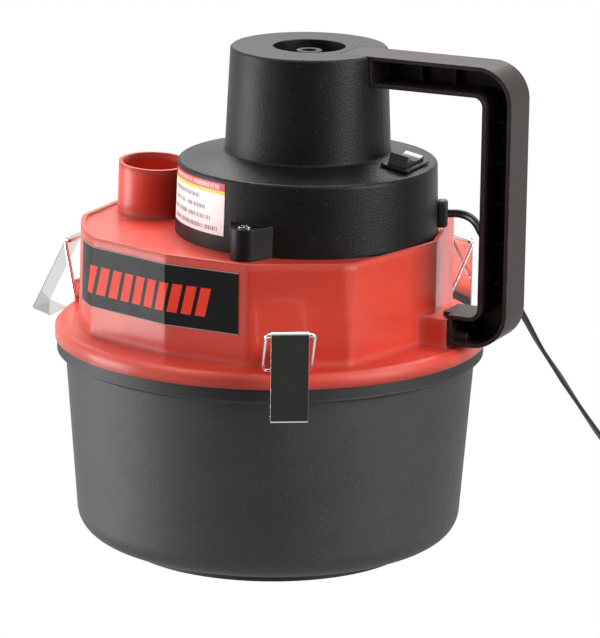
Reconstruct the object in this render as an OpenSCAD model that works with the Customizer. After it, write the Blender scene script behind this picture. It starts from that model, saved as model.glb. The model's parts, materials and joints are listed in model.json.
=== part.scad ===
// Small 12 V canister shop vacuum: tub, lid with hose port, motor housing, loop handle, latches
// and lead. The origin is the centre of the tub's foot on the floor, +Z is up, and +X runs to the
// handle. The hose port is on the -X side, and the latches are at 180, 60 and -60 degrees.

/* [Tub] */
// Height of the tub, to the top of its rim
tub_h = 117.7; // [110:0.1:130]
// Outer radius of the tub just under its rim
tub_top_r = 113.8; // [110:0.1:116]
// Outer radius of the tub above its bottom corner
tub_low_r = 107.2; // [104:0.1:109]
// Wall thickness of the tub
tub_wall = 2.6; // [2:0.1:3.5]
// Outer radius of the foot ring
foot_r = 82.5; // [78:0.5:88]

/* [Lid] */
// Outer radius of the lid flange
flange_r = 119.7; // [119:0.1:122]
// Height of the lid's top face above the floor
lid_top_z = 180.2; // [176:0.1:186]
// Outer radius of the lid wall at the flange
lid_low_r = 106.6; // [106:0.1:107]
// Distance of the three latch flats from the axis
flat_d = 101; // [100:0.1:103]
// Distance of the lid's flatter sides from the axis
side_d = 95.8; // [95.7:0.1:97]
// Inner radius of the hose port
port_bore_r = 18; // [17.5:0.1:18.2]
// Distance of the hose port from the axis
port_x = 72.6; // [72.5:0.1:73]

/* [Motor housing] */
// Offset of the motor axis from the tub axis
motor_x = 21.3; // [20:0.1:23]
// Radius of the drum at the lid
drum_r = 72.6; // [70:0.1:74]
// Height of the housing's top face above the floor
top_z = 282.7; // [281:0.1:284]
// Radius of the housing at the top
crown_r = 42.9; // [42:0.1:44]

/* [Handle] */
// Width of the handle channel
handle_w = 26; // [24:0.5:28]
// Depth of the channel section
handle_t = 16.8; // [15:0.1:18]
// Distance of the grip's outer face from the tub axis
handle_reach = 145.8; // [144:0.1:150]

/* [Latches] */
// Length of the wire bail between its two bars
bail_l = 32.5; // [32:0.1:33]
// Length of the lever plate from the bar to its bottom edge
lever_l = 47.3; // [46:0.1:48]
// Rest angle of the front bail, out from upright
bail_open = 41; // [40:0.1:45]
// Rest angle of the rear bail, out from upright
bail_rear = 29; // [25:0.1:45]
// Rest angle of the port-side bail, out from upright
bail_up = 11.5; // [10:0.1:14]
// Rest tilt of the port-side lever's foot, out from hanging plumb
lever_tilt = 27; // [20:1:30]

/* [Lead] */
// Width of the twin-core lead
lead_w = 4.6; // [4.2:0.1:5]
// Radius of the stored coil at the middle of its turns
coil_r = 27.5; // [25:0.5:29]

/* [Hidden] */
$fn = 96;
eps = 0.01;
gap = 0.3;

// tub
foot_h = 8;
foot_wall = 4;
tub_floor_z = 6.5;
corner_r = 14.5;
lip_r = 118.6;
lip_z = 111;

// lid
flange_z = tub_h + gap;
flange_top = 126;
lid_wall = 2.6;
lid_up_r = 105.4;
skirt_z = flange_top - 4;
lid_lip_z = lid_top_z + 1.5;
lid_lip_w = 2.4;
inlet_r = 24;
port_top_z = 208.9;
port_wall = 1.9;
port_flare = 0.9;
port_tilt = [2.3, 2.9, 0];
spigot_r = port_bore_r + port_wall + 0.6;
spigot_z = 168;
deflector_z = 146;
latch_angles = [-60, 60, 180];
lid_flats = concat([for (a = latch_angles) [a, flat_d]],
    [for (s = [-1, 1]) each [[15 * s, side_d], [92 * s, side_d + 1], [108 * s, side_d + 1.2]]]);
lug_w = 15;
lug_out = 119;
lug_top = 137;
pivot_r = 115.5;
pivot_z = 128;
wire_r = 1.1;
bail_w = 25.8;
bail_bend = 2.2;
lever_w = 20;
lever_sheet = 0.8;
hook_l = 10.5;
front_shift = -1.2;
spigot_ring_r = 108;
bracket_x = 111.4;
bracket_z = 142;

// motor housing
drum_z = lid_top_z;
drum_top_z = 220;
drum_up_r = 71.4;
neck_z = 225;
neck_r = 45.6;
shell = 2.4;
recess_r = 19.9;
recess_z = 267.7;
boss_top_z = 280.5;
pocket_gap = 0.4;
pocket_x = motor_x + 24.5;
ear_d = 79.5;
ear_r = 8;
ear_top_z = 197.5;
cone_slope = atan((neck_z - drum_top_z) / (drum_up_r - neck_r));

// handle
arm_z = top_z - handle_t;
low_arm_z = 128.3;
low_arm_top = low_arm_z + handle_t;
grip_x = handle_reach - handle_t;
skin = 2.2;
rib_h = 7;
bend_out = 20;
bend_in = 5;
fixing_yz = [[-6, 132], [6, 136]];

// stickers
film = 0.4;
panel_from = -141.5;
panel_to = -74.8;
panel_z = 142.9;
panel_h = 33.9;
label_from = -147;
label_to = -103.5;
label_z = 188.7;
label_h = 28.6;

// fan and motor
fan_plate_z = 205;
fan_plate_t = 3;
fan_plate_r = 66;
boss_d = 61;
can_r = 24;
can_z = fan_plate_z + fan_plate_t;
can_h = 46;
cap_z = can_z + can_h;
cap_h = 7;
shaft_r = 2;
impeller_r = 54;
impeller_z = 187;
impeller_h = 15;

// filter
cage_r = 36;
cage_low_z = 70;
cage_top_z = lid_top_z - lid_wall;
float_r = 30;
float_z = cage_low_z + 3 + gap;
float_h = 42;

// switch, on the drum's sloping top
switch_r = 58;
bezel_l = 31;
bezel_w = 16;
rocker_l = 25;
rocker_w = 10.6;
rocker_rest = 9;

// grommet and lead
exit_angle = 22;
exit_r = 77.5;
exit_z = 191;
lead_t = 2.4;
lead_sides = 8;
coil_at = [193, 247];
coil_half = 2 * lead_w;
coil_h = 10.4;
tie_t = 1.2;
tie_w = 6;
plug_at = [237.8, 179];
plug_r = 10.5;
plug_l = 52;
plug_turn = 75;
// Route of the lead from the drum to the coil, and from the coil to the plug
route = [
    [93.2, 29, 191], [98.9, 31.4, 191], [103.6, 34.3, 189], [106.7, 37.3, 185],
    [109, 40.6, 178], [112, 48, 165], [116, 61, 146], [120.5, 77, 125.5],
    [124, 94, 105], [127.5, 110, 88], [131, 126, 71], [135, 144, 52],
    [139, 162, 34], [143, 180, 19], [147, 196, 9], [151, 208, 4.5], [154.5, 218, 2.8],
    [157.4, 228, 2.5], [158.6, 237, 2.5]
];
tail = [
    [227.4, 237, 2.6], [227.3, 230, 3.8], [227.4, 223, 6.6], [228, 216, 9.6],
    [228.8, 212.5, 10.9], [230, 208, 11.1]
];

// ---------- shared shapes ----------

// Ring on the Z axis between two radii
module ring(outer, inner, h) {
    difference() {
        cylinder(r = outer, h = h);
        translate([0, 0, -1])
            cylinder(r = inner, h = h + 2);
    }
}

// Points along an arc
function arc(c, r, a0, a1, n) =
    [for (i = [0 : n]) let (a = a0 + (a1 - a0) * i / n) c + r * [cos(a), sin(a)]];

// Radius of the lid's wall at a height
function lid_r(z) = lid_low_r + (lid_up_r - lid_low_r) * (z - skirt_z) / (lid_lip_z - skirt_z);

// Solid inside the lid's outline, drawn in by an inset: a cone with flats for the latches and sides
module lid_form(inset, z0, z1) {
    difference() {
        translate([0, 0, z0])
            cylinder(r1 = lid_r(z0) - inset, r2 = lid_r(z1) - inset, h = z1 - z0);
        for (f = lid_flats)
            rotate([0, 0, f[0]])
                translate([f[1] - inset, -60, z0 - 1])
                    cube([40, 120, z1 - z0 + 2]);
    }
}

// Panhead screw pointing down, with its head's underside at the origin
module screw(shank_r, length, head_r, head_h) {
    difference() {
        cylinder(r = head_r, h = head_h);
        for (a = [0, 90])
            rotate([0, 0, a])
                translate([-head_r * 0.6, -0.5, head_h * 0.5])
                    cube([head_r * 1.2, 1, head_h]);
    }
    translate([0, 0, -length])
        cylinder(r = shank_r, h = length + 0.5);
}

// Straight bar between two points
module bar(a, b, r) {
    d = b - a;
    translate(a)
        rotate([0, acos(d[2] / norm(d)), atan2(d[1], d[0])])
            cylinder(r = r, h = norm(d), $fn = 24);
}

// Bars from point to point, with a slightly fatter ball at each bend
module bars(p, r) {
    for (i = [0 : len(p) - 2])
        bar(p[i], p[i + 1], r);
    for (i = [1 : len(p) - 2])
        translate(p[i])
            sphere(r = r + 0.15, $fn = 24);
}

// Places a child on a latch's pivot, with +X outward
module at_latch(angle) {
    rotate([0, 0, angle])
        translate([pivot_r, 0, pivot_z])
            children();
}

// Ring of points round a route point, square to the run through its neighbours
function run_dir(p, i) =
    let (a = p[max(i - 1, 0)], b = p[min(i + 1, len(p) - 1)]) (b - a) / norm(b - a);
function side_dir(d) = let (s = cross([0, 0, 1], d)) s / norm(s);
function ring_at(p, i) = let (d = run_dir(p, i), s = side_dir(d), u = cross(d, s))
    [for (k = [0 : lead_sides - 1]) let (a = 360 * (k + 0.5) / lead_sides)
        p[i] + s * lead_w / 2 * cos(a) + u * lead_t / 2 * sin(a)];

// Flat lead swept along a route
module swept_lead(p) {
    n = len(p);
    points = [for (i = [0 : n - 1]) each ring_at(p, i)];
    sides = [for (i = [0 : n - 2], k = [0 : lead_sides - 1]) let (j = (k + 1) % lead_sides)
        [i * lead_sides + k, (i + 1) * lead_sides + k, (i + 1) * lead_sides + j, i * lead_sides + j]];
    start = [[for (k = [0 : lead_sides - 1]) k]];
    end = [[for (k = [lead_sides - 1 : -1 : 0]) (n - 1) * lead_sides + k]];
    polyhedron(points = points, faces = concat(sides, start, end));
}

// ---------- tub ----------

module tub() {
    color("#1b1b1c") {
        rotate_extrude()
            tub_section();
        ring(foot_r, foot_r - foot_wall, foot_h);
    }
}

// Half section of the tub's shell: floor, rounded corner, tapered wall and rim lip
module tub_section() {
    corner = [tub_low_r - corner_r, tub_floor_z + corner_r];
    in_r = corner_r - tub_wall;
    rim_in = tub_top_r - tub_wall;
    polygon(concat(
        [[0, tub_floor_z]],
        arc(corner, corner_r, -90, -5, 12),
        [[tub_top_r, lip_z - 2.5], [lip_r, lip_z], [lip_r, tub_h], [rim_in, tub_h],
            [rim_in, lip_z - 2.5]],
        arc(corner, in_r, -5, -90, 10),
        [[0, tub_floor_z + tub_wall]]));
}

// ---------- lid ----------

module lid() {
    color("#d4261b")
    difference() {
        union() {
            lid_shell();
            lid_skirt();
            lid_port();
            for (a = latch_angles)
                rotate([0, 0, a])
                    translate([flat_d - 1, -lug_w / 2, flange_top - 1])
                        cube([lug_out - flat_d + 1, lug_w, lug_top - flange_top + 1]);
            handle_bracket();
        }
        for (a = latch_angles)
            at_latch(a)
                rotate([90, 0, 0])
                    cylinder(r = wire_r + 0.1, h = lug_w + 4, center = true);
        lid_holes();
    }
}

module lid_shell() {
    difference() {
        lid_form(0, skirt_z, lid_lip_z);
        lid_form(lid_wall, skirt_z - 1, lid_top_z - lid_wall);
        lid_form(lid_lip_w, lid_top_z, lid_lip_z + 1);
    }
    for (a = [30 : 60 : 330])
        rotate([0, 0, a])
            translate([74, -1, lid_top_z - lid_wall - 8])
                cube([side_d - 76, 2, 9]);
}

// Flange over the tub's rim, with a drip edge and a spigot that locates in the tub
module lid_skirt() {
    rotate_extrude() {
        polygon([[side_d - lid_wall, skirt_z], [flange_r, skirt_z], [flange_r, skirt_z + 1.5],
            [flange_r - 2.5, flange_top], [side_d - lid_wall, flange_top]]);
        translate([lip_r - 0.5, flange_z])
            square([flange_r - lip_r + 0.5, 5]);
        translate([spigot_ring_r, flange_z - 10])
            square([2.4, 15]);
        translate([spigot_ring_r + 1, flange_z + 2])
            square([10, 3]);
    }
}

// Upright tube for the hose cuff, flared at its foot and cut at a slight slant at its rim
module lid_port() {
    translate([-port_x, 0, spigot_z])
        cylinder(r = spigot_r, h = lid_top_z - spigot_z);
    difference() {
        translate([-port_x, 0, lid_top_z - 1])
            cylinder(r1 = port_bore_r + port_wall + port_flare, r2 = port_bore_r + port_wall,
                h = port_top_z - lid_top_z + 4);
        translate([-port_x, 0, port_top_z])
            rotate(port_tilt)
                translate([-40, -40, 0])
                    cube([80, 80, 20]);
    }
}

// Box that the handle's lower arm is screwed to
module handle_bracket() {
    difference() {
        translate([side_d - 2, -handle_w / 2, flange_top - 1])
            cube([bracket_x - side_d + 2, handle_w, bracket_z - flange_top + 1]);
        translate([80, -handle_w / 2 + 2, flange_top + 2])
            cube([bracket_x - 82, handle_w - 4, bracket_z - flange_top - 4]);
    }
}

module lid_holes() {
    translate([motor_x, 0, 150])
        cylinder(r = inlet_r, h = 60);
    translate([-port_x, 0, 150])
        cylinder(r = port_bore_r, h = 80);
    for (a = [-90, 90])
        translate([motor_x, 0, 170])
            rotate([0, 0, a])
                translate([ear_d, 0, 0])
                    cylinder(r = 1.7, h = 20);
    for (a = [0, 120, 240])
        translate([motor_x, 0, 170])
            rotate([0, 0, a])
                translate([cage_r + 5, 0, 0])
                    cylinder(r = 1.2, h = 20);
    for (p = fixing_yz)
        translate([bracket_x - 6, p[0], p[1]])
            rotate([0, 90, 0])
                cylinder(r = 1.7, h = 12);
}

module lid_gasket() {
    color("#202020")
    translate([0, 0, flange_z])
        ring(lip_r - 0.7, 110.6, 120 - flange_z);
}

module inlet_deflector() {
    color("#b32018")
    translate([-port_x, 0, 0])
        difference() {
            translate([0, 0, deflector_z])
                cylinder(r = spigot_r + 2.5, h = spigot_z + 6 - deflector_z);
            translate([0, 0, deflector_z + 2.5])
                cylinder(r = spigot_r, h = 40);
            translate([-12, 0, deflector_z + 2.5])
                cube([24, 30, 17]);
        }
}

// ---------- filter and float ----------

module filter_cage() {
    color("#2a2a2a")
    translate([motor_x, 0, 0])
        difference() {
            union() {
                translate([0, 0, cage_low_z])
                    cylinder(r = cage_r, h = cage_top_z - cage_low_z);
                translate([0, 0, cage_top_z - 2.5])
                    cylinder(r = cage_r + 9, h = 2.5);
            }
            translate([0, 0, cage_low_z + 3])
                cylinder(r = cage_r - 2.5, h = 200);
            for (a = [0 : 30 : 150])
                rotate([0, 0, a + 15])
                    translate([-60, -5, cage_low_z + 14])
                        cube([120, 10, 80]);
            for (a = [0, 120, 240])
                rotate([0, 0, a])
                    translate([cage_r + 5, 0, cage_top_z - 10])
                        cylinder(r = 1.7, h = 20);
        }
}

module cage_screws() {
    color("silver")
    translate([motor_x, 0, cage_top_z - 2.5])
        for (a = [0, 120, 240])
            rotate([0, 0, a])
                translate([cage_r + 5, 0, 0])
                    rotate([180, 0, 0])
                        screw(1.2, 4.5, 2.8, 1.6);
}

module foam_filter() {
    color("#3d3f42")
    translate([motor_x, 0, cage_low_z + 6])
        ring(cage_r + 6.5, cage_r, 95);
}

module filter_band() {
    color("#151515")
    translate([motor_x, 0, cage_low_z + 90])
        ring(cage_r + 8, cage_r + 6.5, 6);
}

module float() {
    color("#e7e4da")
    translate([motor_x, 0, float_z])
        difference() {
            cylinder(r = float_r, h = float_h);
            translate([0, 0, -1])
                cylinder(r = float_r - 2, h = float_h - 1.5);
        }
}

// ---------- fan and motor ----------

module fan_plate() {
    color("#26272a")
    translate([motor_x, 0, fan_plate_z])
        difference() {
            union() {
                cylinder(r = fan_plate_r, h = fan_plate_t);
                ring(can_r + 3.5, can_r + 0.2, 9);
            }
            translate([0, 0, -1])
                cylinder(r = 6, h = 20);
            for (a = [30 : 120 : 270])
                rotate([0, 0, a])
                    translate([boss_d, 0, -1])
                        cylinder(r = 1.8, h = 10);
            for (a = [60, 240])
                rotate([0, 0, a])
                    translate([12, 0, -1])
                        cylinder(r = 1.6, h = 10);
        }
}

module fan_plate_screws() {
    color("silver")
    translate([motor_x, 0, fan_plate_z]) {
        for (a = [30 : 120 : 270])
            rotate([0, 0, a])
                translate([boss_d, 0, 0])
                    rotate([180, 0, 0])
                        screw(1.3, 9, 2.8, 1.4);
        for (a = [60, 240])
            rotate([0, 0, a])
                translate([12, 0, 0])
                    rotate([180, 0, 0])
                        screw(1.3, 4.2, 2.6, 0.8);
    }
}

module motor_can() {
    color("#8d9194")
    translate([motor_x, 0, can_z])
        difference() {
            cylinder(r = can_r, h = can_h);
            translate([0, 0, 1.5])
                cylinder(r = can_r - 1.5, h = can_h);
            translate([0, 0, -1])
                cylinder(r = 4.5, h = 5);
            for (a = [60, 240])
                rotate([0, 0, a])
                    translate([12, 0, -1])
                        cylinder(r = 1.3, h = 5);
        }
}

module motor_magnets() {
    color("#3a3a3a")
    translate([motor_x, 0, can_z + 6])
        for (a = [0, 180])
            rotate([0, 0, a])
                rotate_extrude(angle = 130, start = -65)
                    translate([can_r - 6, 0])
                        square([4.5, 30]);
}

module motor_end_cap() {
    color("#17181a")
    translate([motor_x, 0, cap_z])
        difference() {
            union() {
                cylinder(r = can_r, h = cap_h - 2);
                cylinder(r = 8, h = cap_h + 1.5);
                translate([0, 0, -3])
                    ring(can_r - 1.5, can_r - 4, 3.5);
            }
            translate([0, 0, -1])
                cylinder(r = 4.5, h = 6);
            translate([0, 0, 4])
                cylinder(r = 1.4, h = 8);
            for (s = [-1, 1])
                translate([s * 14, 0, -1])
                    cube([2.4, 5, 20], center = true);
        }
}

module motor_brushes() {
    color("#2d2d2f")
    translate([motor_x, 0, cap_z - 6])
        for (s = [-1, 1])
            translate([0, s * 8.6, 2])
                cube([4, 5, 4], center = true);
}

module motor_bushes() {
    color("#b08d57")
    translate([motor_x, 0, 0]) {
        translate([0, 0, can_z])
            ring(4.5, shaft_r + 0.05, 4);
        translate([0, 0, cap_z])
            ring(4.5, shaft_r + 0.05, 3.5);
    }
}

module motor_terminals() {
    color("#c9a24b")
    translate([motor_x, 0, cap_z])
        for (s = [-1, 1])
            translate([s * 14, 0, 3])
                cube([0.8, 4.6, 10], center = true);
}

module noise_suppressor() {
    color("#c77b30")
    translate([motor_x, 13, cap_z + cap_h - 2])
        translate([0, 0, 2])
            cube([9, 3, 4], center = true);
}

module motor_shaft() {
    color("silver")
    translate([motor_x, 0, impeller_z - 4])
        cylinder(r = shaft_r, h = cap_z + 3 - impeller_z + 4);
}

module armature() {
    color("#9c5a2b")
    translate([motor_x, 0, can_z + 8])
        difference() {
            cylinder(r = can_r - 7, h = 26);
            translate([0, 0, -1])
                cylinder(r = shaft_r, h = 40);
            for (a = [0 : 60 : 300])
                rotate([0, 0, a])
                    translate([9, -1.5, -1])
                        cube([20, 3, 40]);
        }
}

module commutator() {
    color("#b87333")
    translate([motor_x, 0, can_z + 35])
        ring(5.8, shaft_r, 9);
}

module impeller() {
    color("#2f3033")
    translate([motor_x, 0, impeller_z])
        difference() {
            union() {
                translate([0, 0, impeller_h - 1.6])
                    cylinder(r = impeller_r, h = 1.6);
                cylinder(r = 7, h = impeller_h);
                for (a = [0 : 45 : 315])
                    rotate([0, 0, a])
                        blade();
            }
            translate([0, 0, -1])
                cylinder(r = shaft_r, h = 40);
        }
}

// One backward-curved blade of the impeller
module blade() {
    intersection() {
        translate([28, -30, 0])
            ring(40, 38.6, impeller_h - 1);
        ring(impeller_r - 1, 12, impeller_h);
        cube([60, 60, impeller_h]);
    }
}

module impeller_nut() {
    color("silver")
    translate([motor_x, 0, impeller_z - 3])
        difference() {
            cylinder(r = 4.2, h = 3, $fn = 6);
            translate([0, 0, -1])
                cylinder(r = shaft_r, h = 6);
        }
}

// ---------- motor housing ----------

module motor_housing() {
    color("#1d1d1f")
    difference() {
        union() {
            translate([motor_x, 0, 0]) {
                rotate_extrude()
                    housing_section();
                recess_cup();
                for (a = [-90, 90])
                    rotate([0, 0, a])
                        screw_ear();
                for (a = [30 : 120 : 270])
                    rotate([0, 0, a])
                        translate([boss_d, 0, can_z])
                            cylinder(r = 4, h = 12.5);
            }
            pocket_walls();
        }
        housing_openings();
    }
}

// Half section of the housing's shell, with a rounded drum edge and a filleted neck
module housing_section() {
    difference() {
        union() {
            polygon([[0, drum_z], [drum_r, drum_z], [drum_up_r, drum_top_z - 2],
                [drum_up_r - 2, drum_top_z], [neck_r + 0.8, neck_z - 0.15], [neck_r, neck_z + 0.8], [crown_r + 0.2, top_z - 1],
                [crown_r - 0.8, top_z], [0, top_z]]);
            translate([drum_up_r - 2.2, drum_top_z - 2])
                circle(r = 2.2);
        }
        polygon([[-1, drum_z - 1], [drum_r - shell, drum_z - 1], [drum_up_r - shell, drum_top_z - shell],
            [neck_r - shell, neck_z - shell], [crown_r - shell, top_z - shell], [-1, top_z - shell]]);
        translate([-1, recess_z])
            square([recess_r + 1, 30]);
        translate([-9, 0])
            square([9, 300]);
    }
}

// Round recess in the top, with a screw boss standing in it
module recess_cup() {
    translate([0, 0, recess_z - 2.5])
        cylinder(r = recess_r + 2.2, h = 2.5);
    translate([0, 0, recess_z - 2.5])
        ring(recess_r + 2.2, recess_r, top_z - recess_z + 1);
    translate([0, 0, recess_z - 2.5])
        cylinder(r = 7, h = boss_top_z - recess_z + 2.5);
}

// Ear at the drum's foot, with a counterbored screw hole
module screw_ear() {
    translate([0, 0, drum_z])
        linear_extrude(ear_top_z - drum_z)
            union() {
                translate([ear_d, 0])
                    circle(r = ear_r);
                polygon([[69, -13.5], [ear_d + 2.8, -7.5], [ear_d + 2.8, 7.5], [69, 13.5]]);
            }
}

// Walls round the slot that holds the handle's upper end
module pocket_walls() {
    intersection() {
        translate([pocket_x - 2.4, -handle_w / 2 - 2.4, arm_z - 2])
            cube([30, handle_w + 4.8, handle_t + 2]);
        translate([motor_x, 0, arm_z - 3])
            cylinder(r = crown_r - 1, h = 30);
    }
}

module housing_openings() {
    translate([pocket_x - pocket_gap, -handle_w / 2 - pocket_gap, arm_z])
        cube([40, handle_w + 2 * pocket_gap, handle_t + 10]);
    translate([motor_x, 0, recess_z - 10])
        cylinder(r = 1.7, h = 30);
    translate([motor_x, 0, boss_top_z - 4.5])
        cylinder(r = 4.2, h = 10);
    for (a = [-90, 90])
        translate([motor_x, 0, drum_z - 1])
            rotate([0, 0, a])
                translate([ear_d, 0, 0]) {
                    cylinder(r = 1.7, h = 30);
                    translate([0, 0, ear_top_z - drum_z - 1.2])
                        cylinder(r = 4.6, h = 10);
                }
    at_switch()
        translate([-6.6, -14.2, -12])
            cube([13.2, 28.4, 20]);
    at_exit()
        rotate([0, 90, 0])
            cylinder(r = 4.2, h = 20, center = true);
    for (a = [112 : 7 : 154])
        translate([motor_x, 0, 190])
            rotate([0, 0, a])
                translate([60, -1.6, 0])
                    cube([20, 3.2, 12]);
    for (a = [30 : 120 : 270])
        translate([motor_x, 0, can_z - 1])
            rotate([0, 0, a])
                translate([boss_d, 0, 0])
                    cylinder(r = 1.3, h = 10);
}

module housing_screws() {
    color("silver")
    for (a = [-90, 90])
        translate([motor_x, 0, ear_top_z - 1.2])
            rotate([0, 0, a])
                translate([ear_d, 0, 0])
                    screw(1.7, 19, 4, 1.8);
}

module top_screw() {
    color("silver")
    translate([motor_x, 0, boss_top_z - 4.5])
        screw(1.4, 16, 3.6, 2.4);
}

// ---------- handle ----------

// Rounded region to the left of the grip, from the arms' roots to x1, with rounded right corners
module loop_form(x1, z0, z1, r) {
    translate([0, z0])
        square([x1 - r, z1 - z0]);
    translate([0, z0 + r])
        square([x1, z1 - z0 - 2 * r]);
    for (z = [z0 + r, z1 - r])
        translate([x1 - r, z])
            circle(r = r);
}

module handle() {
    color("#1b1a1b")
    difference() {
        union() {
            rotate([90, 0, 0])
                linear_extrude(handle_w, center = true)
                    handle_outline();
            translate([lid_low_r + 0.2, -handle_w / 2 + 6, low_arm_top - 2.5])
                cube([8, handle_w - 6, 2.5]);
        }
        handle_channel();
        for (p = fixing_yz)
            translate([bracket_x, p[0], p[1]])
                rotate([0, 90, 0])
                    cylinder(r = 1.3, h = 8);
    }
    handle_ribs();
}

module handle_outline() {
    difference() {
        loop_form(handle_reach, low_arm_z, top_z, bend_out);
        loop_form(grip_x, low_arm_top, arm_z, bend_in);
        translate([-1, 0])
            square([pocket_x + 1, 300]);
        translate([-1, 0])
            square([bracket_x + 1 + gap, 200]);
    }
}

// Hollow of the channel, open toward -Y
module handle_channel() {
    translate([0, handle_w / 2 - skin, 0])
        rotate([90, 0, 0])
            linear_extrude(handle_w)
                difference() {
                    loop_form(handle_reach - skin, low_arm_z + skin, top_z - skin, bend_out - skin);
                    loop_form(grip_x + skin, low_arm_top - skin, arm_z + skin, bend_in + skin);
                    translate([-1, 200])
                        square([motor_x + crown_r + 1, 100]);
                    translate([-1, 0])
                        square([bracket_x + skin + gap + 1, 200]);
                }
}

// Shallow stiffening ribs across the channel
module handle_ribs() {
    color("#1b1a1b") {
        for (z = [160 : 22.4 : 250])
            translate([grip_x + 1, handle_w / 2 - rib_h - 1, z])
                cube([handle_t - 2, rib_h, 1.4]);
        for (x = [85, 105])
            translate([x, handle_w / 2 - rib_h - 1, arm_z + 1])
                cube([1.4, rib_h, handle_t - 2]);
        for (p = fixing_yz)
            translate([bracket_x + gap + 1, p[0], p[1]])
                rotate([0, 90, 0])
                    ring(3, 1.3, 9);
    }
}

module handle_screws() {
    color("silver")
    for (p = fixing_yz)
        translate([bracket_x - 2, p[0], p[1]])
            rotate([0, -90, 0])
                screw(1.3, 11, 2.4, 1.4);
}

// ---------- switch ----------

// Places a child on the drum's sloping top, with local Z square to the slope
module at_switch() {
    translate([motor_x + switch_r, 0, neck_z - (switch_r - neck_r) * tan(cone_slope)])
        rotate([0, cone_slope, 0])
            children();
}

module switch_frame() {
    color("#111111")
    at_switch()
        difference() {
            union() {
                translate([-bezel_w / 2, -bezel_l / 2, 0.1])
                    cube([bezel_w, bezel_l, 1.4]);
                translate([-6.5, -14, -10])
                    cube([13, 28, 11]);
            }
            translate([-rocker_w / 2 - gap, -rocker_l / 2 - 0.8, -8])
                cube([rocker_w + 2 * gap, rocker_l + 1.6, 20]);
            rotate([0, 90, 0])
                cylinder(r = 1.05, h = 12.6, center = true);
        }
}

module switch_rocker() {
    color("#0c0c0c")
    at_switch()
        rotate([-rocker_rest, 0, 0]) {
            difference() {
                translate([-rocker_w / 2, -rocker_l / 2 + 0.4, -3])
                    cube([rocker_w, rocker_l - 0.8, 9]);
                translate([0, 0, 27.5])
                    rotate([0, 90, 0])
                        cylinder(r = 24, h = 40, center = true);
                for (s = [-1, 1])
                    translate([-10, s * 9 - 5, -3 - 5])
                        rotate([s * 16, 0, 0])
                            cube([20, 10, 4]);
            }
            rotate([0, 90, 0])
                cylinder(r = 1, h = 12.4, center = true);
        }
}

module switch_terminals() {
    color("#c9a24b")
    at_switch()
        for (y = [-8, 0, 8])
            translate([-2.4, y - 0.4, -13.6])
                cube([4.8, 0.8, 3.6]);
}

module internal_leads() {
    color("#a01c1c") {
        bars([[77, 9.4, 209.9], [85.4, 20.8, 209.9], [85.4, 20.8, 203], [80.5, 24, 194],
            [82.3, 24.7, 191.3]], 0.9);
        bars([[77, -9.4, 209.9], [66, -9.4, 210.4], [57, -12, 222], [53, -8, 261], [37.2, -1, 261]], 0.9);
    }
}

// ---------- lead exit ----------

module at_exit() {
    translate([motor_x, 0, exit_z])
        rotate([0, 0, exit_angle])
            translate([72, 0, 0])
                children();
}

module lead_grommet() {
    color("#141414")
    at_exit() {
        rotate([0, 90, 0])
            translate([0, 0, -5])
                cylinder(r = 4.1, h = 6);
        intersection() {
            translate([0.6, -4.2, -7.8])
                cube([exit_r - 72 - 0.6, 8.4, 15.6]);
            rotate([0, 90, 0])
                cylinder(r = 7.8, h = 20);
        }
    }
}

// ---------- latches ----------

// Rounded rectangular wire loop in the YZ plane, with its lower bar on the Y axis
module wire_loop(w, h, r, bend) {
    for (z = [0, h])
        translate([0, 0, z])
            rotate([90, 0, 0])
                cylinder(r = r, h = w - 2 * bend, center = true);
    for (s = [-1, 1])
        translate([0, s * w / 2, bend])
            cylinder(r = r, h = h - 2 * bend);
    for (c = [[1, bend, 0], [1, h - bend, 90], [-1, h - bend, 180], [-1, bend, 270]])
        translate([0, c[0] * (w / 2 - bend), c[1]])
            rotate([0, 90, 0])
                rotate_extrude(angle = 90, start = c[2])
                    translate([bend, 0])
                        circle(r = r);
}

module bail(angle) {
    color("#c9ccd0")
        rotate([0, angle, 0])
            wire_loop(bail_w, bail_l, wire_r, bail_bend);
}

// Lever hanging plumb from a bar on the Y axis: rolled eye, plate, bend and hook
module lever_plate() {
    face = wire_r + 0.1;
    knee = [face - 0.6, 1.4 - lever_l];
    turn = -101;
    hook = hook_l * [sin(turn), -cos(turn)];
    foot_out = arc(knee, 0.6 + lever_sheet, 0, turn, 8);
    foot_in = arc(knee, 0.6, turn, 0, 5);
    color("#d9dbde")
    difference() {
        rotate([90, 0, 0])
            linear_extrude(lever_w, center = true)
                polygon(concat(
                    arc([0, 0], face + lever_sheet, 270, 0, 24),
                    foot_out,
                    [foot_out[8] + hook, foot_in[0] + hook],
                    foot_in,
                    [[face, 0]],
                    arc([0, 0], wire_r, 0, 270, 24)));
        rotate([90, 0, 0])
            cylinder(r = wire_r + 0.05, h = lever_w + 2, center = true);
    }
}

// Lever on its bail's outer bar, with its foot tilted outward from plumb
module lever(angle, tilt) {
    translate([bail_l * sin(angle), 0, bail_l * cos(angle)])
        rotate([0, -tilt, 0])
            lever_plate();
}

module front_bail() { at_latch(-60) translate([0, front_shift, 0]) bail(bail_open); }
module front_lever() { at_latch(-60) translate([0, 1.4 * front_shift, 0]) lever(bail_open, 0); }
module rear_bail() { at_latch(60) bail(bail_rear); }
module rear_lever() { at_latch(60) lever(bail_rear, 0); }
module port_side_bail() { at_latch(180) bail(bail_up); }
module port_side_lever() { at_latch(180) lever(bail_up, lever_tilt); }

// ---------- stickers ----------

// Film on the lid's wall, which runs on over the front latch's flat
module brand_panel() {
    color("#0d0d0d")
    intersection() {
        difference() {
            lid_form(-film, skirt_z, lid_lip_z);
            lid_form(0, skirt_z - eps, lid_lip_z + eps);
        }
        rotate([0, 0, panel_from])
            rotate_extrude(angle = panel_to - panel_from)
                translate([90, panel_z])
                    square([30, panel_h]);
    }
}

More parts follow.
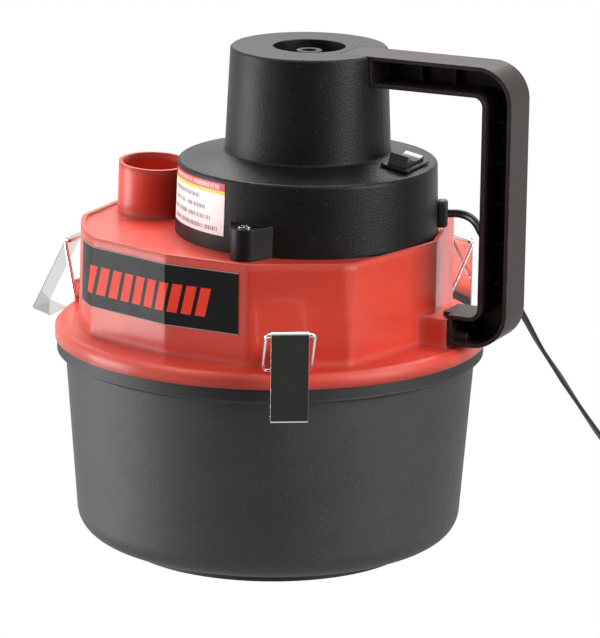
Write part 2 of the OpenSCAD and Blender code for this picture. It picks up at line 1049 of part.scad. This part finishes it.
module rating_label() {
    color("#ece9e4")
    translate([motor_x, 0, 0])
        intersection() {
            difference() {
                translate([0, 0, drum_z])
                    cylinder(r1 = drum_r + 0.3, r2 = drum_up_r + 0.3, h = drum_top_z - 2 - drum_z);
                translate([0, 0, drum_z])
                    cylinder(r1 = drum_r, r2 = drum_up_r, h = drum_top_z - 2 - drum_z);
            }
            rotate([0, 0, label_from])
                rotate_extrude(angle = label_to - label_from)
                    translate([60, label_z])
                        square([30, label_h]);
        }
}

// ---------- lead, coil and plug ----------

module power_lead() {
    color("#161616")
        swept_lead(route);
}

module lead_coil() {
    color("#161616")
    translate([coil_at[0], coil_at[1], tie_t])
        ring(coil_r + coil_half, coil_r - coil_half, coil_h);
}

module coil_tie() {
    color("#202020")
    translate([coil_at[0], coil_at[1] + coil_r, coil_h / 2 + tie_t])
        difference() {
            cube([tie_w, 2 * (coil_half + tie_t) + 0.5, coil_h + 2 * tie_t], center = true);
            cube([tie_w + 1, 2 * coil_half + 0.5, coil_h], center = true);
        }
}

module lead_tail() {
    color("#161616")
        swept_lead(tail);
}

// Places a child on the plug's axis, with +X toward its tip
module at_plug() {
    translate([plug_at[0], plug_at[1], plug_r + 0.6])
        rotate([0, 0, -plug_turn])
            children();
}

module plug_boot() {
    color("#141414")
    at_plug()
        rotate([0, 90, 0])
            translate([0, 0, -30])
                cylinder(r1 = 3.2, r2 = 6.5, h = 12);
}

module plug_body() {
    color("#1a1a1a")
    at_plug()
        rotate([0, 90, 0])
            difference() {
                union() {
                    translate([0, 0, -18])
                        cylinder(r = plug_r + 0.6, h = 16);
                    translate([0, 0, -2])
                        cylinder(r = plug_r - 0.1, h = plug_l - 16);
                }
                translate([0, 0, 6])
                    cylinder(r = 3.6, h = 60);
                for (a = [90, 270])
                    rotate([0, 0, a])
                        translate([6.5, -2.6, 4])
                            cube([10, 5.2, 20]);
            }
}

module plug_cap() {
    color("#222222")
    at_plug()
        rotate([0, 90, 0])
            translate([0, 0, plug_l - 18])
                difference() {
                    cylinder(r1 = plug_r - 0.1, r2 = 6.5, h = 8);
                    translate([0, 0, -1])
                        cylinder(r = 2.55, h = 12);
                    translate([0, 0, -1])
                        cylinder(r = 3.6, h = 5);
                }
}

module plug_side_contacts() {
    color("silver")
    at_plug()
        rotate([0, 90, 0])
            for (a = [90, 270])
                rotate([0, 0, a])
                    translate([6.5, -2, 5])
                        cube([4.6, 4, 18]);
}

module plug_spring() {
    color("#a9adb2")
    at_plug()
        rotate([0, 90, 0])
            translate([0, 0, 8])
                ring(2.6, 1.8, 4);
}

module plug_fuse() {
    color("#cfd8dc")
    at_plug()
        rotate([0, 90, 0])
            translate([0, 0, 12])
                cylinder(r = 3.1, h = 19);
}

module plug_tip() {
    color("#c9ccd0")
    at_plug()
        rotate([0, 90, 0])
            translate([0, 0, 31]) {
                cylinder(r = 3.3, h = 6.5);
                cylinder(r = 2.5, h = 13);
                translate([0, 0, 13])
                    sphere(r = 2.5);
            }
}

tub();
lid();
lid_gasket();
inlet_deflector();
filter_cage();
cage_screws();
foam_filter();
filter_band();
float();
fan_plate();
fan_plate_screws();
motor_can();
motor_magnets();
motor_end_cap();
motor_brushes();
motor_bushes();
motor_terminals();
noise_suppressor();
motor_shaft();
armature();
commutator();
impeller();
impeller_nut();
motor_housing();
housing_screws();
top_screw();
handle();
handle_screws();
switch_frame();
switch_rocker();
switch_terminals();
internal_leads();
lead_grommet();
front_bail();
front_lever();
rear_bail();
rear_lever();
port_side_bail();
port_side_lever();
brand_panel();
rating_label();
power_lead();
lead_coil();
coil_tie();
lead_tail();
plug_boot();
plug_body();
plug_cap();
plug_side_contacts();
plug_spring();
plug_fuse();
plug_tip();
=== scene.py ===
"""Looks of the canister vacuum: camera, lights, procedural materials, and pieces in finer mesh."""
import json
import math

import bmesh
import bpy
from mathutils import Matrix, Vector


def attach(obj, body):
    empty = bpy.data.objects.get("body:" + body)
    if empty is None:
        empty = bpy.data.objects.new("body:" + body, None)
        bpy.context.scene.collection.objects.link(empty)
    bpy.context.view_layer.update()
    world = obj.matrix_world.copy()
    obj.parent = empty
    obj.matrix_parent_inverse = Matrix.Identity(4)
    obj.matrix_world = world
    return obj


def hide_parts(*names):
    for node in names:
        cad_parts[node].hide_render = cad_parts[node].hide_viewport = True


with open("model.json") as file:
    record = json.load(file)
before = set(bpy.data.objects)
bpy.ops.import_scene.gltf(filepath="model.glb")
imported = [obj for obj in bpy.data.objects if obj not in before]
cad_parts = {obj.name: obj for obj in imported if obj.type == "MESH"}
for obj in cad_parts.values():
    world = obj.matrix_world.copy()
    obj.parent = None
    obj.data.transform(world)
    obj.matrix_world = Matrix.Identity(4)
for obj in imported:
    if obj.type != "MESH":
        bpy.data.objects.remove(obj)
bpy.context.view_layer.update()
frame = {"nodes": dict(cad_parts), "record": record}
nodes = frame["nodes"]
MM = 0.001


# ---------- node helpers ----------

class Shader:
    """A material's node tree, with short calls for the nodes that these materials use."""

    def __init__(self, name):
        self.mat = bpy.data.materials.new(name)
        self.mat.use_nodes = True
        self.tree = self.mat.node_tree
        self.bsdf = self.tree.nodes["Principled BSDF"]
        self.coord = self.tree.nodes.new("ShaderNodeTexCoord").outputs["Object"]

    def put(self, socket, value):
        """Sets a socket from a number, a colour or another node's output."""
        if isinstance(value, bpy.types.NodeSocket):
            self.tree.links.new(value, socket)
        elif isinstance(value, (tuple, list)) and len(socket.default_value) == 4 and len(value) == 3:
            socket.default_value = (*value, 1)
        else:
            socket.default_value = value

    def base(self, **values):
        for key, value in values.items():
            self.put(self.bsdf.inputs[key.replace("_", " ")], value)

    def math(self, op, a, b=0.0):
        n = self.tree.nodes.new("ShaderNodeMath")
        n.operation = op
        self.put(n.inputs[0], a)
        self.put(n.inputs[1], b)
        return n.outputs[0]

    def noise(self, scale, detail=2.0, rough=0.5, vector=None):
        n = self.tree.nodes.new("ShaderNodeTexNoise")
        self.put(n.inputs["Vector"], vector or self.coord)
        self.put(n.inputs["Scale"], scale)
        self.put(n.inputs["Detail"], detail)
        self.put(n.inputs["Roughness"], rough)
        return n.outputs["Fac"]

    def cells(self, scale):
        n = self.tree.nodes.new("ShaderNodeTexVoronoi")
        self.put(n.inputs["Vector"], self.coord)
        self.put(n.inputs["Scale"], scale)
        return n.outputs["Distance"]

    def ramp(self, value, lo, hi, out_lo=0.0, out_hi=1.0):
        """Value mapped linearly from lo..hi to out_lo..out_hi, and held at the ends."""
        n = self.tree.nodes.new("ShaderNodeMapRange")
        sockets = ("Value", "From Min", "From Max", "To Min", "To Max")
        for socket, v in zip(sockets, (value, lo, hi, out_lo, out_hi)):
            self.put(n.inputs[socket], v)
        return n.outputs["Result"]

    def mix(self, fac, a, b):
        n = self.tree.nodes.new("ShaderNodeMix")
        n.data_type = "RGBA"
        self.put(n.inputs[0], fac)
        self.put(n.inputs[6], a)
        self.put(n.inputs[7], b)
        return n.outputs[2]

    def split(self):
        n = self.tree.nodes.new("ShaderNodeSeparateXYZ")
        self.put(n.inputs[0], self.coord)
        return n.outputs

    def scaled(self, x, y, z):
        n = self.tree.nodes.new("ShaderNodeVectorMath")
        n.operation = "MULTIPLY"
        self.put(n.inputs[0], self.coord)
        n.inputs[1].default_value = (x, y, z)
        return n.outputs[0]

    def round_edges(self, radius):
        n = self.tree.nodes.new("ShaderNodeBevel")
        n.samples = 6
        n.inputs["Radius"].default_value = radius
        return n.outputs[0]

    def edge_mask(self, rounded):
        """1 on an edge and 0 on a flat, from how far the rounded normal leans from the face's."""
        geo = self.tree.nodes.new("ShaderNodeNewGeometry").outputs["Normal"]
        n = self.tree.nodes.new("ShaderNodeVectorMath")
        n.operation = "DOT_PRODUCT"
        self.put(n.inputs[0], rounded)
        self.put(n.inputs[1], geo)
        return self.ramp(n.outputs["Value"], 0.995, 0.86)

    def bump(self, height, strength, distance, normal=None):
        n = self.tree.nodes.new("ShaderNodeBump")
        self.put(n.inputs["Height"], height)
        self.put(n.inputs["Strength"], strength)
        self.put(n.inputs["Distance"], distance)
        if normal is not None:
            self.put(n.inputs["Normal"], normal)
        return n.outputs[0]


DUST_GREY = (0.30, 0.29, 0.28)


def grained(name, color, rough, grain, strength, speck, pale, gloss, edge=0.0008, warm=(1, 1, 1), band=None):
    """Moulded plastic with a spark-eroded grain, faint mottling, and scuffed, paler edges.

    band is a height in metres above which the plastic is smooth, and darkened with painted shade that stands
    for the shadow under the lid's flange.
    """
    s = Shader(name)
    rounded = s.round_edges(edge)
    fine = s.noise(grain, 3.0, 0.65)
    pits = s.cells(grain * 0.8)
    patch = s.noise(28, 3.0, 0.55)
    edges = s.edge_mask(rounded)
    nick = s.math("MULTIPLY", edges, s.ramp(s.noise(900, 2.0), 0.52, 0.66))
    tone = s.mix(s.ramp(patch, 0.3, 0.7), [c * 0.85 for c in color], [c * 1.15 for c in color])
    tone = s.mix(s.ramp(fine, 0.42, 0.30), tone, [c * 0.45 for c in color])
    tone = s.mix(s.math("MULTIPLY", s.ramp(fine, 0.55, 0.75), 0.8), tone, [c * 3.0 for c in color])
    dust = s.ramp(s.cells(210), 0.07, 0.035)
    tone = s.mix(s.math("MULTIPLY", dust, speck), tone, DUST_GREY)
    tone = s.mix(s.math("MULTIPLY", nick, pale), tone, [g * w for g, w in zip(DUST_GREY, warm)])
    height = s.math("ADD", s.math("MULTIPLY", fine, 0.7), s.math("MULTIPLY", pits, 0.5))
    if band is not None:
        smooth = s.ramp(s.split()["Z"], band - 0.0004, band + 0.0004)
        # painted shade: above the band the colour is darkened to stand for the flange's shadow
        tone = s.mix(smooth, tone, [c * 0.3 for c in color])
        height = s.math("MULTIPLY", height, s.math("SUBTRACT", 1.0, smooth))
    wear = s.math("ADD", patch, s.math("MULTIPLY", fine, 0.6))
    s.base(
        Base_Color=tone,
        Roughness=s.ramp(wear, 0.4, 1.2, rough - 0.06, rough + 0.1),
        Specular_IOR_Level=gloss,
        Normal=s.bump(height, strength, 0.00012, rounded),
    )
    return s.mat


def glossy_red():
    """Injection-moulded red ABS: clear gloss over a faint flow ripple, with a few dust specks.

    The wide edge radius softens the shading between the lid's flats.
    """
    s = Shader("red_gloss")
    rounded = s.round_edges(0.006)
    edges = s.edge_mask(rounded)
    flow = s.noise(0.9, 3.0, 0.5, s.scaled(14, 14, 40))
    tone = s.mix(s.ramp(flow, 0.35, 0.65), (0.58, 0.046, 0.027), (0.66, 0.060, 0.034))
    # painted highlight: every edge is tinted paler pink to stand for light caught on the rounded edges
    tone = s.mix(s.math("MULTIPLY", edges, 0.12), tone, (0.95, 0.30, 0.24))
    dust = s.ramp(s.cells(150), 0.060, 0.030)
    tone = s.mix(s.math("MULTIPLY", dust, 0.45), tone, (0.95, 0.55, 0.48))
    peel = s.math("ADD", s.noise(420, 2.0), s.math("MULTIPLY", s.noise(60, 2.0), 1.4))
    s.base(
        Base_Color=tone,
        Roughness=s.ramp(s.noise(75, 3.0), 0.3, 0.7, 0.30, 0.40),
        Specular_IOR_Level=0.4,
        Coat_Weight=0.18,
        Coat_Roughness=0.12,
        Subsurface_Weight=0.06,
        Subsurface_Radius=(0.004, 0.0008, 0.0005),
        Normal=s.bump(peel, 0.10, 0.0004, rounded),
    )
    return s.mat


def plain(name, color, rough, ripple=90, strength=0.08, edge=0.0004, **extra):
    """A smooth moulding or a coated part, slightly uneven in tone and gloss."""
    s = Shader(name)
    rounded = s.round_edges(edge)
    dark, light = [c * 0.88 for c in color], [min(c * 1.12, 1) for c in color]
    tone = s.mix(s.ramp(s.noise(120, 3.0), 0.3, 0.7), dark, light)
    s.base(
        Base_Color=tone,
        Roughness=s.ramp(s.noise(200, 3.0), 0.3, 0.7, rough - 0.04, rough + 0.06),
        Normal=s.bump(s.noise(ripple, 2.0), strength, 0.0004, rounded),
        **extra,
    )
    return s.mat


def metal(name, color, rough, ripple=0.0, grain=0.0, edge=0.0003):
    """Bare or plated metal, with a rolled ripple and fine scratches."""
    s = Shader(name)
    rounded = s.round_edges(edge)
    scratch = s.noise(1.0, 4.0, 0.7, s.scaled(2600, 2600, 180))
    haze = s.ramp(s.noise(160, 4.0, 0.6), 0.35, 0.7, rough, rough + 0.10)
    height = s.math("ADD", s.math("MULTIPLY", s.noise(55, 2.0), ripple), s.math("MULTIPLY", scratch, grain))
    s.base(
        Base_Color=s.mix(s.ramp(scratch, 0.3, 0.7), [c * 0.93 for c in color], color),
        Metallic=1.0,
        Roughness=haze,
        Normal=s.bump(height, 0.5, 0.0004, rounded),
    )
    return s.mat


def ring_position(s, centre_x):
    """(angle about an upright axis at centre_x in radians, height in mm)."""
    x, y, z = s.split()
    angle = s.math("ARCTAN2", y, s.math("SUBTRACT", x, centre_x))
    return angle, s.math("MULTIPLY", z, 1000)


def inside(s, value, lo, hi, soft=0.08):
    """1 where value lies between lo and hi."""
    return s.math("MULTIPLY", s.ramp(value, lo - soft, lo + soft), s.ramp(value, hi + soft, hi - soft))


def panel_film():
    """Black film with a row of slanted orange-red bars, and a thin cut edge. Lengths are in mm."""
    middle_angle, radius = math.radians(109.2), 105.6
    bars_low, bars_high, bars_half, period = 150.5, 166.3, 46.5, 9.3
    s = Shader("panel_film")
    angle, z = ring_position(s, 0.0)
    u = s.math("MULTIPLY", s.math("ADD", angle, middle_angle), radius)
    height = s.math("SUBTRACT", z, (bars_low + bars_high) / 2)
    lean = s.math("ADD", u, s.math("MULTIPLY", height, -0.25))
    phase = s.math("MULTIPLY", s.math("FRACT", s.math("ADD", s.math("DIVIDE", lean, period), 40.0)), period)
    ink = s.math("MULTIPLY", inside(s, phase, 0.8, 7.4), inside(s, lean, -bars_half, bars_half))
    ink = s.math("MULTIPLY", ink, inside(s, z, bars_low, bars_high))
    rim = s.math("MAXIMUM", s.ramp(z, 176.25, 176.5), s.ramp(z, 143.5, 143.25))
    tone = s.mix(ink, (0.006, 0.006, 0.007), (0.80, 0.050, 0.022))
    tone = s.mix(s.math("MULTIPLY", rim, 0.55), tone, (0.62, 0.52, 0.48))
    s.base(
        Base_Color=tone,
        Roughness=s.ramp(s.noise(90, 3.0), 0.3, 0.7, 0.26, 0.36),
        Specular_IOR_Level=0.14,
        Normal=s.bump(s.noise(46, 2.0), 0.10, 0.0006),
    )
    return s.mat


def label_paper(axis_x):
    """White rating label: red band, yellow rule, and rows of dashes in place of print. Lengths are in mm."""
    left_angle, radius = math.radians(147), 72.0
    s = Shader("label_paper")
    angle, z = ring_position(s, axis_x)
    u = s.math("MULTIPLY", s.math("ADD", angle, left_angle), radius)
    red = s.ramp(z, 212.9, 213.1)
    yellow = inside(s, z, 211.2, 212.9, 0.1)
    pitch, low = 5.3, 189.6
    line = s.math("DIVIDE", s.math("SUBTRACT", z, low), pitch)
    rows = s.math("MULTIPLY", inside(s, s.math("FRACT", line), 0.22, 0.66, 0.04), inside(s, z, low, 210.6))
    row = s.math("FLOOR", line)
    ends = s.math("SUBTRACT", 50.0, s.math("MULTIPLY", row, 5.0))
    glyph = s.tree.nodes.new("ShaderNodeCombineXYZ")
    s.put(glyph.inputs[0], s.math("MULTIPLY", u, 0.75))
    s.put(glyph.inputs[1], s.math("MULTIPLY", row, 7.3))
    gaps = s.ramp(s.noise(1.0, 1.0, 0.5, glyph.outputs[0]), 0.38, 0.42)
    stroke = s.math("MULTIPLY", gaps, s.ramp(s.math("SINE", s.math("MULTIPLY", u, 4.2)), -0.55, -0.25))
    before_end = s.ramp(s.math("SUBTRACT", ends, u), 0.0, 0.3)
    print_ink = s.math("MULTIPLY", s.math("MULTIPLY", rows, stroke), before_end)
    print_ink = s.math("MULTIPLY", print_ink, s.ramp(u, 2.6, 3.0))
    title = s.math("MULTIPLY", stroke, inside(s, u, 3.0, 51, 0.2))
    title = s.math("MULTIPLY", inside(s, z, 213.9, 216.3, 0.12), title)
    tone = s.mix(print_ink, (0.96, 0.94, 0.92), (0.10, 0.10, 0.11))
    tone = s.mix(yellow, tone, (0.90, 0.62, 0.04))
    tone = s.mix(red, tone, (0.66, 0.040, 0.028))
    tone = s.mix(s.math("MULTIPLY", title, 0.8), tone, (0.9, 0.82, 0.78))
    s.base(Base_Color=tone, Roughness=0.42, Normal=s.bump(s.noise(60, 2.0), 0.06, 0.0005))
    return s.mat


AXIS_X = 0.0213  # axis of the motor housing's drum
SHADED_BAND_Z = 0.1115  # the tub is smooth, and darkened with painted shade from the flange, above this height
mats = {
    "black_satin_plastic": grained(
        "black_satin", (0.030, 0.030, 0.031), 0.55, 1400, 1.0, speck=0.06, pale=0.2, gloss=0.6, band=SHADED_BAND_Z,
    ),
    "red_gloss_plastic": glossy_red(),
    "black_grain_plastic": grained(
        "black_grain", (0.0065, 0.0065, 0.007), 0.40, 1000, 1.0, speck=0.25, pale=0.3, gloss=0.24,
    ),
    "handle_plastic": grained(
        "handle_satin", (0.024, 0.0145, 0.0135), 0.38, 1500, 0.4, speck=0.10, pale=0.5, gloss=0.24,
        edge=0.0009, warm=(1, 0.93, 0.9),
    ),
    "black_gloss_plastic": plain("black_gloss", (0.012, 0.012, 0.012), 0.22),
    "black_rubber": plain("rubber", (0.016, 0.016, 0.017), 0.55, 400, 0.2),
    "dark_inner_plastic": plain("inner_plastic", (0.05, 0.05, 0.055), 0.5),
    "white_inner_plastic": plain("float_plastic", (0.72, 0.71, 0.66), 0.45),
    "grey_foam": plain("foam", (0.10, 0.105, 0.11), 0.95, 1200, 1.0),
    "polished_steel": metal("nickel_plate", (0.86, 0.85, 0.83), 0.05, ripple=0.5, grain=0.02),
    "zinc_steel": metal("zinc_plate", (0.60, 0.61, 0.62), 0.28, ripple=0.2, grain=0.3),
    "copper_winding": metal("copper", (0.72, 0.30, 0.12), 0.30, grain=0.6),
    "brass_metal": metal("brass", (0.74, 0.56, 0.25), 0.25, grain=0.3),
    "ferrite": plain("ferrite", (0.05, 0.05, 0.05), 0.6),
    "orange_epoxy": plain("epoxy", (0.62, 0.22, 0.03), 0.3),
    "red_wire": plain("wire", (0.40, 0.02, 0.02), 0.4),
    "panel_sticker": panel_film(),
    "white_sticker": label_paper(AXIS_X),
    "black_pvc": plain("pvc", (0.014, 0.014, 0.015), 0.30, 300, 0.12),
    "glass_fuse_body": plain("fuse_glass", (0.75, 0.80, 0.82), 0.1, Transmission_Weight=0.8),
}


def paint(obj, material):
    obj.data.materials.clear()
    obj.data.materials.append(material)


for part in frame["record"]["subparts"]:
    paint(nodes[part["node"]], mats[part["material_slot"]])
paint(nodes["handle"], mats["handle_plastic"])


# ---------- camera and light ----------

AZ, EL, ROLL = math.radians(24.6), math.radians(14.3), math.radians(0.8)
ahead = Vector((-math.sin(AZ) * math.cos(EL), math.cos(AZ) * math.cos(EL), -math.sin(EL)))
right = Vector((math.cos(AZ), math.sin(AZ), 0))
up = right.cross(ahead)


MIDDLE = Vector((0, 0, 0.15))


def from_camera(x, y, z):
    """A point given along the view's right, up and towards the camera, about the vacuum's middle."""
    return MIDDLE + right * x + up * y - ahead * z


camera = bpy.data.objects.new("camera", bpy.data.cameras.new("camera"))
bpy.context.scene.collection.objects.link(camera)
camera.data.sensor_width = 36
camera.data.lens = 237
camera.data.clip_end = 50
turned_right = right * math.cos(ROLL) + up * math.sin(ROLL)
turned_up = up * math.cos(ROLL) - right * math.sin(ROLL)
spin = Matrix((turned_right, turned_up, -ahead)).transposed().to_4x4()
camera.matrix_world = Matrix.Translation(from_camera(0.01637, -0.02252, 2.33)) @ spin
bpy.context.scene.camera = camera


def softbox(name, place, width, height, power):
    """A rectangular lamp in metres and watts that faces the vacuum's middle."""
    data = bpy.data.lights.new(name, "AREA")
    data.shape, data.size, data.size_y = "RECTANGLE", width, height
    data.energy = power
    lamp = bpy.data.objects.new(name, data)
    bpy.context.scene.collection.objects.link(lamp)
    lamp.location = place
    lamp.rotation_mode = "QUATERNION"
    lamp.rotation_quaternion = (MIDDLE - place).to_track_quat("-Z", "Y")


softbox("left_wall", from_camera(-1.35, -0.05, -0.05), 0.7, 1.2, 16)
softbox("right_front", from_camera(1.25, 0.30, 0.85), 0.9, 1.1, 24)
softbox("overhead", from_camera(0.05, 1.45, -0.45), 1.3, 1.0, 46)

WHITE = (1, 1, 1, 1)
world = bpy.data.worlds.new("studio")
bpy.context.scene.world = world
world.use_nodes = True
wt = world.node_tree
sky = wt.nodes["Background"]
toward = wt.nodes.new("ShaderNodeTexCoord").outputs["Generated"]


def glow(axis, lo, hi, strength):
    """Light that rises smoothly to a strength as a direction turns toward an axis."""
    dot = wt.nodes.new("ShaderNodeVectorMath")
    dot.operation = "DOT_PRODUCT"
    wt.links.new(toward, dot.inputs[0])
    dot.inputs[1].default_value = axis
    fade = wt.nodes.new("ShaderNodeMapRange")
    fade.interpolation_type = "SMOOTHSTEP"
    wt.links.new(dot.outputs["Value"], fade.inputs["Value"])
    fade.inputs["From Min"].default_value, fade.inputs["From Max"].default_value = lo, hi
    fade.inputs["To Min"].default_value, fade.inputs["To Max"].default_value = 0.0, strength
    return fade.outputs["Result"]


flat_ahead = Vector((ahead.x, ahead.y, 0)).normalized()
brightness = None
for axis, lo, hi, strength in (
    (flat_ahead, 0.15, 0.75, 0.85),                      # white backdrop behind the object
    (-right, 0.25, 0.95, 0.80),                          # white wall on the left
    (right, 0.50, 1.00, 0.50),                           # fainter wall on the right
    (Vector((0, 0, 1)), 0.10, 0.90, 0.70),               # ceiling
    (Vector((0, 0, -1)), 0.35, 0.95, 0.75),              # pale table underneath
    (Vector((0, 0, 1)), -1.0, -0.9, 0.035),              # faint light from everywhere
):
    part = glow(axis, lo, hi, strength)
    if brightness is None:
        brightness = part
        continue
    larger = wt.nodes.new("ShaderNodeMath")
    larger.operation = "MAXIMUM"
    wt.links.new(brightness, larger.inputs[0])
    wt.links.new(part, larger.inputs[1])
    brightness = larger.outputs[0]
wt.links.new(brightness, sky.inputs["Strength"])
sky.inputs["Color"].default_value = WHITE
backdrop = wt.nodes.new("ShaderNodeBackground")
backdrop.inputs["Color"].default_value = WHITE
pick = wt.nodes.new("ShaderNodeMixShader")
wt.links.new(wt.nodes.new("ShaderNodeLightPath").outputs["Is Camera Ray"], pick.inputs[0])
wt.links.new(sky.outputs[0], pick.inputs[1])
wt.links.new(backdrop.outputs[0], pick.inputs[2])
wt.links.new(pick.outputs[0], wt.nodes["World Output"].inputs["Surface"])
bpy.context.scene.view_settings.view_transform = "Standard"


# ---------- mesh helpers ----------

def add_mesh(name, verts, faces, material, body, smooth=40):
    """A piece from points in millimetres. Faces that meet at under smooth degrees are shaded as one."""
    mesh = bpy.data.meshes.new(name)
    mesh.from_pydata([[c * MM for c in v] for v in verts], [], faces)
    bm = bmesh.new()
    bm.from_mesh(mesh)
    bmesh.ops.recalc_face_normals(bm, faces=bm.faces)
    limit = math.radians(smooth)
    for f in bm.faces:
        f.smooth = True
    for e in bm.edges:
        e.smooth = len(e.link_faces) != 2 or e.calc_face_angle(0) < limit
    bm.to_mesh(mesh)
    bm.free()
    obj = bpy.data.objects.new(name, mesh)
    bpy.context.scene.collection.objects.link(obj)
    paint(obj, material)
    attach(obj, body)
    return obj


def curve_through(points, per_span):
    """Points along a smooth curve through the given ones."""
    pts = [Vector(p) for p in points]
    ends = [pts[0] * 2 - pts[1]] + pts + [pts[-1] * 2 - pts[-2]]
    out = []
    for i in range(1, len(ends) - 2):
        a, b, c, d = ends[i - 1:i + 3]
        for k in range(per_span):
            t = k / per_span
            out.append(0.5 * (2 * b + (c - a) * t + (2 * a - 5 * b + 4 * c - d) * t * t
                              + (3 * b - a - 3 * c + d) * t ** 3))
    out.append(pts[-1])
    return out


# ---------- the lead ----------

ROUTE = [
    (93.2, 29, 191), (98.9, 31.4, 191), (103.6, 34.3, 189), (106.7, 37.3, 185),
    (109, 40.6, 178), (112, 48, 165), (116, 61, 146), (120.5, 77, 125.5),
    (124, 94, 105), (127.5, 110, 88), (131, 126, 71), (135, 144, 52),
    (139, 162, 34), (143, 180, 19), (147, 196, 9), (151, 208, 4.5), (154.5, 218, 2.8), (157.4, 228, 2.5),
    (158.6, 237, 2.5),
]
TAIL = [
    (227.6, 236, 7), (227.4, 228, 6.2), (227.5, 222, 7.6),
    (228, 216, 9.6), (228.8, 212.5, 10.9), (230, 208, 11.1),
]
LEAD_W, LEAD_T = 4.6, 2.4
COIL_AT, COIL_LOW = Vector((193, 247, 0)), 2.5
COIL_RADII = [34.4, 29.9, 25.4, 20.9]
TURN_STEPS = 28


def coil_points():
    """Turns wound clockwise in layers, in and out by turns, from the route's end to the tail."""
    turns = []
    for layer in range(4):
        for r in (COIL_RADII if layer % 2 == 0 else COIL_RADII[::-1]):
            turns.append((r, COIL_LOW + 2.5 * layer))
    turns = turns[:14] + [(COIL_RADII[0], COIL_LOW + 7.6)]
    out = []
    for k in range(1, int((len(turns) - 0.5) * TURN_STEPS)):
        t = k / TURN_STEPS
        i = int(t)
        j = min(i + 1, len(turns) - 1)
        ease = min(max((t - i - 0.7) / 0.3, 0), 1)
        ease = ease * ease * (3 - 2 * ease)
        r, z = (turns[i][n] * (1 - ease) + turns[j][n] * ease for n in (0, 1))
        a = math.pi - 2 * math.pi * t
        out.append(COIL_AT + Vector((r * math.cos(a), r * math.sin(a), z)))
    return out


run = curve_through(ROUTE, 6)
coil = coil_points()
drop = curve_through([coil[-1], COIL_AT + Vector((COIL_RADII[0], -4, 8.6))] + TAIL, 5)
lead_line = run + coil[3:] + drop[1:]


def twin_section(w, t):
    """Outline of a flat twin-core lead: two round cores side by side with a groove between."""
    r, off, out = t / 2, (w - t) / 2, []
    for side, start in ((1, -100), (-1, 80)):
        for k in range(9):
            a = math.radians(start + 200 * k / 8)
            out.append((side * off + r * math.cos(a), r * math.sin(a)))
        out.append((0, side * r * 0.62))
    return out


def lead_twist(p):
    """Turn of the flat lead about its run: wide side upright at the grommet, and flat on the floor."""
    at_grommet = min(max((p.z - 140) / 40, 0), 1)
    half_way = max(0, 1 - abs(p.z - 80) / 50)
    return math.radians(80) * at_grommet + math.radians(60) * half_way


def tube_faces(rings, n):
    """Faces between rings of n points each, with both ends closed."""
    faces = []
    for i in range(rings - 1):
        for k in range(n):
            j = (k + 1) % n
            faces.append((i * n + k, i * n + j, (i + 1) * n + j, (i + 1) * n + k))
    last = (rings - 1) * n
    return faces + [tuple(range(n))[::-1], tuple(last + k for k in range(n))]


def sweep(name, line, section, material, body, twist):
    """A section carried along a line of points, and turned about it by twist(point)."""
    verts = []
    for i, p in enumerate(line):
        d = (line[min(i + 1, len(line) - 1)] - line[max(i - 1, 0)]).normalized()
        side = Vector((0, 0, 1)).cross(d).normalized()
        top = d.cross(side)
        a = twist(p)
        side, top = side * math.cos(a) + top * math.sin(a), top * math.cos(a) - side * math.sin(a)
        verts += [p + side * x + top * y for x, y in section]
    return add_mesh(name, verts, tube_faces(len(line), len(section)), material, body)


lead = sweep("lead_twin_core", lead_line, twin_section(LEAD_W, LEAD_T), mats["black_pvc"], "head", lead_twist)
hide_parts("power_lead", "lead_coil", "lead_tail")


# ---------- the grommet ----------

def superellipse(a, b, power, count):
    """Points round a rounded rectangle that is 2a wide and 2b tall."""
    turns = [2 * math.pi * k / count for k in range(count)]

    def reach(half, c):
        return half * math.copysign(abs(c) ** (2 / power), c)

    return [(reach(a, math.cos(t)), reach(b, math.sin(t))) for t in turns]


def lofted(name, centre, along, stations, power, material, body, count=40):
    """A closed piece whose rounded sections, (distance, half width, half height), follow an axis."""
    side = Vector((0, 0, 1)).cross(along).normalized()
    top = along.cross(side)
    verts = []
    for t, a, b in stations:
        verts += [centre + along * t + side * x + top * y for x, y in superellipse(a, b, power, count)]
    return add_mesh(name, verts, tube_faces(len(stations), count), material, body)


EXIT_ANGLE = math.radians(22)
GROMMET_DEPTH = 5.4
outward = Vector((math.cos(EXIT_ANGLE), math.sin(EXIT_ANGLE), 0))
grommet = lofted(
    "grommet_block", Vector(ROUTE[0]) - outward * GROMMET_DEPTH, outward,
    [(0, 3.9, 7.3), (0.5, 4.5, 7.9), (3.6, 4.5, 7.9),
     (4.6, 4.2, 7.6), (5.2, 3.5, 6.9), (GROMMET_DEPTH, 2.8, 6.0)],
    3.2, mats["black_rubber"], "head",
)
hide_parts("lead_grommet")
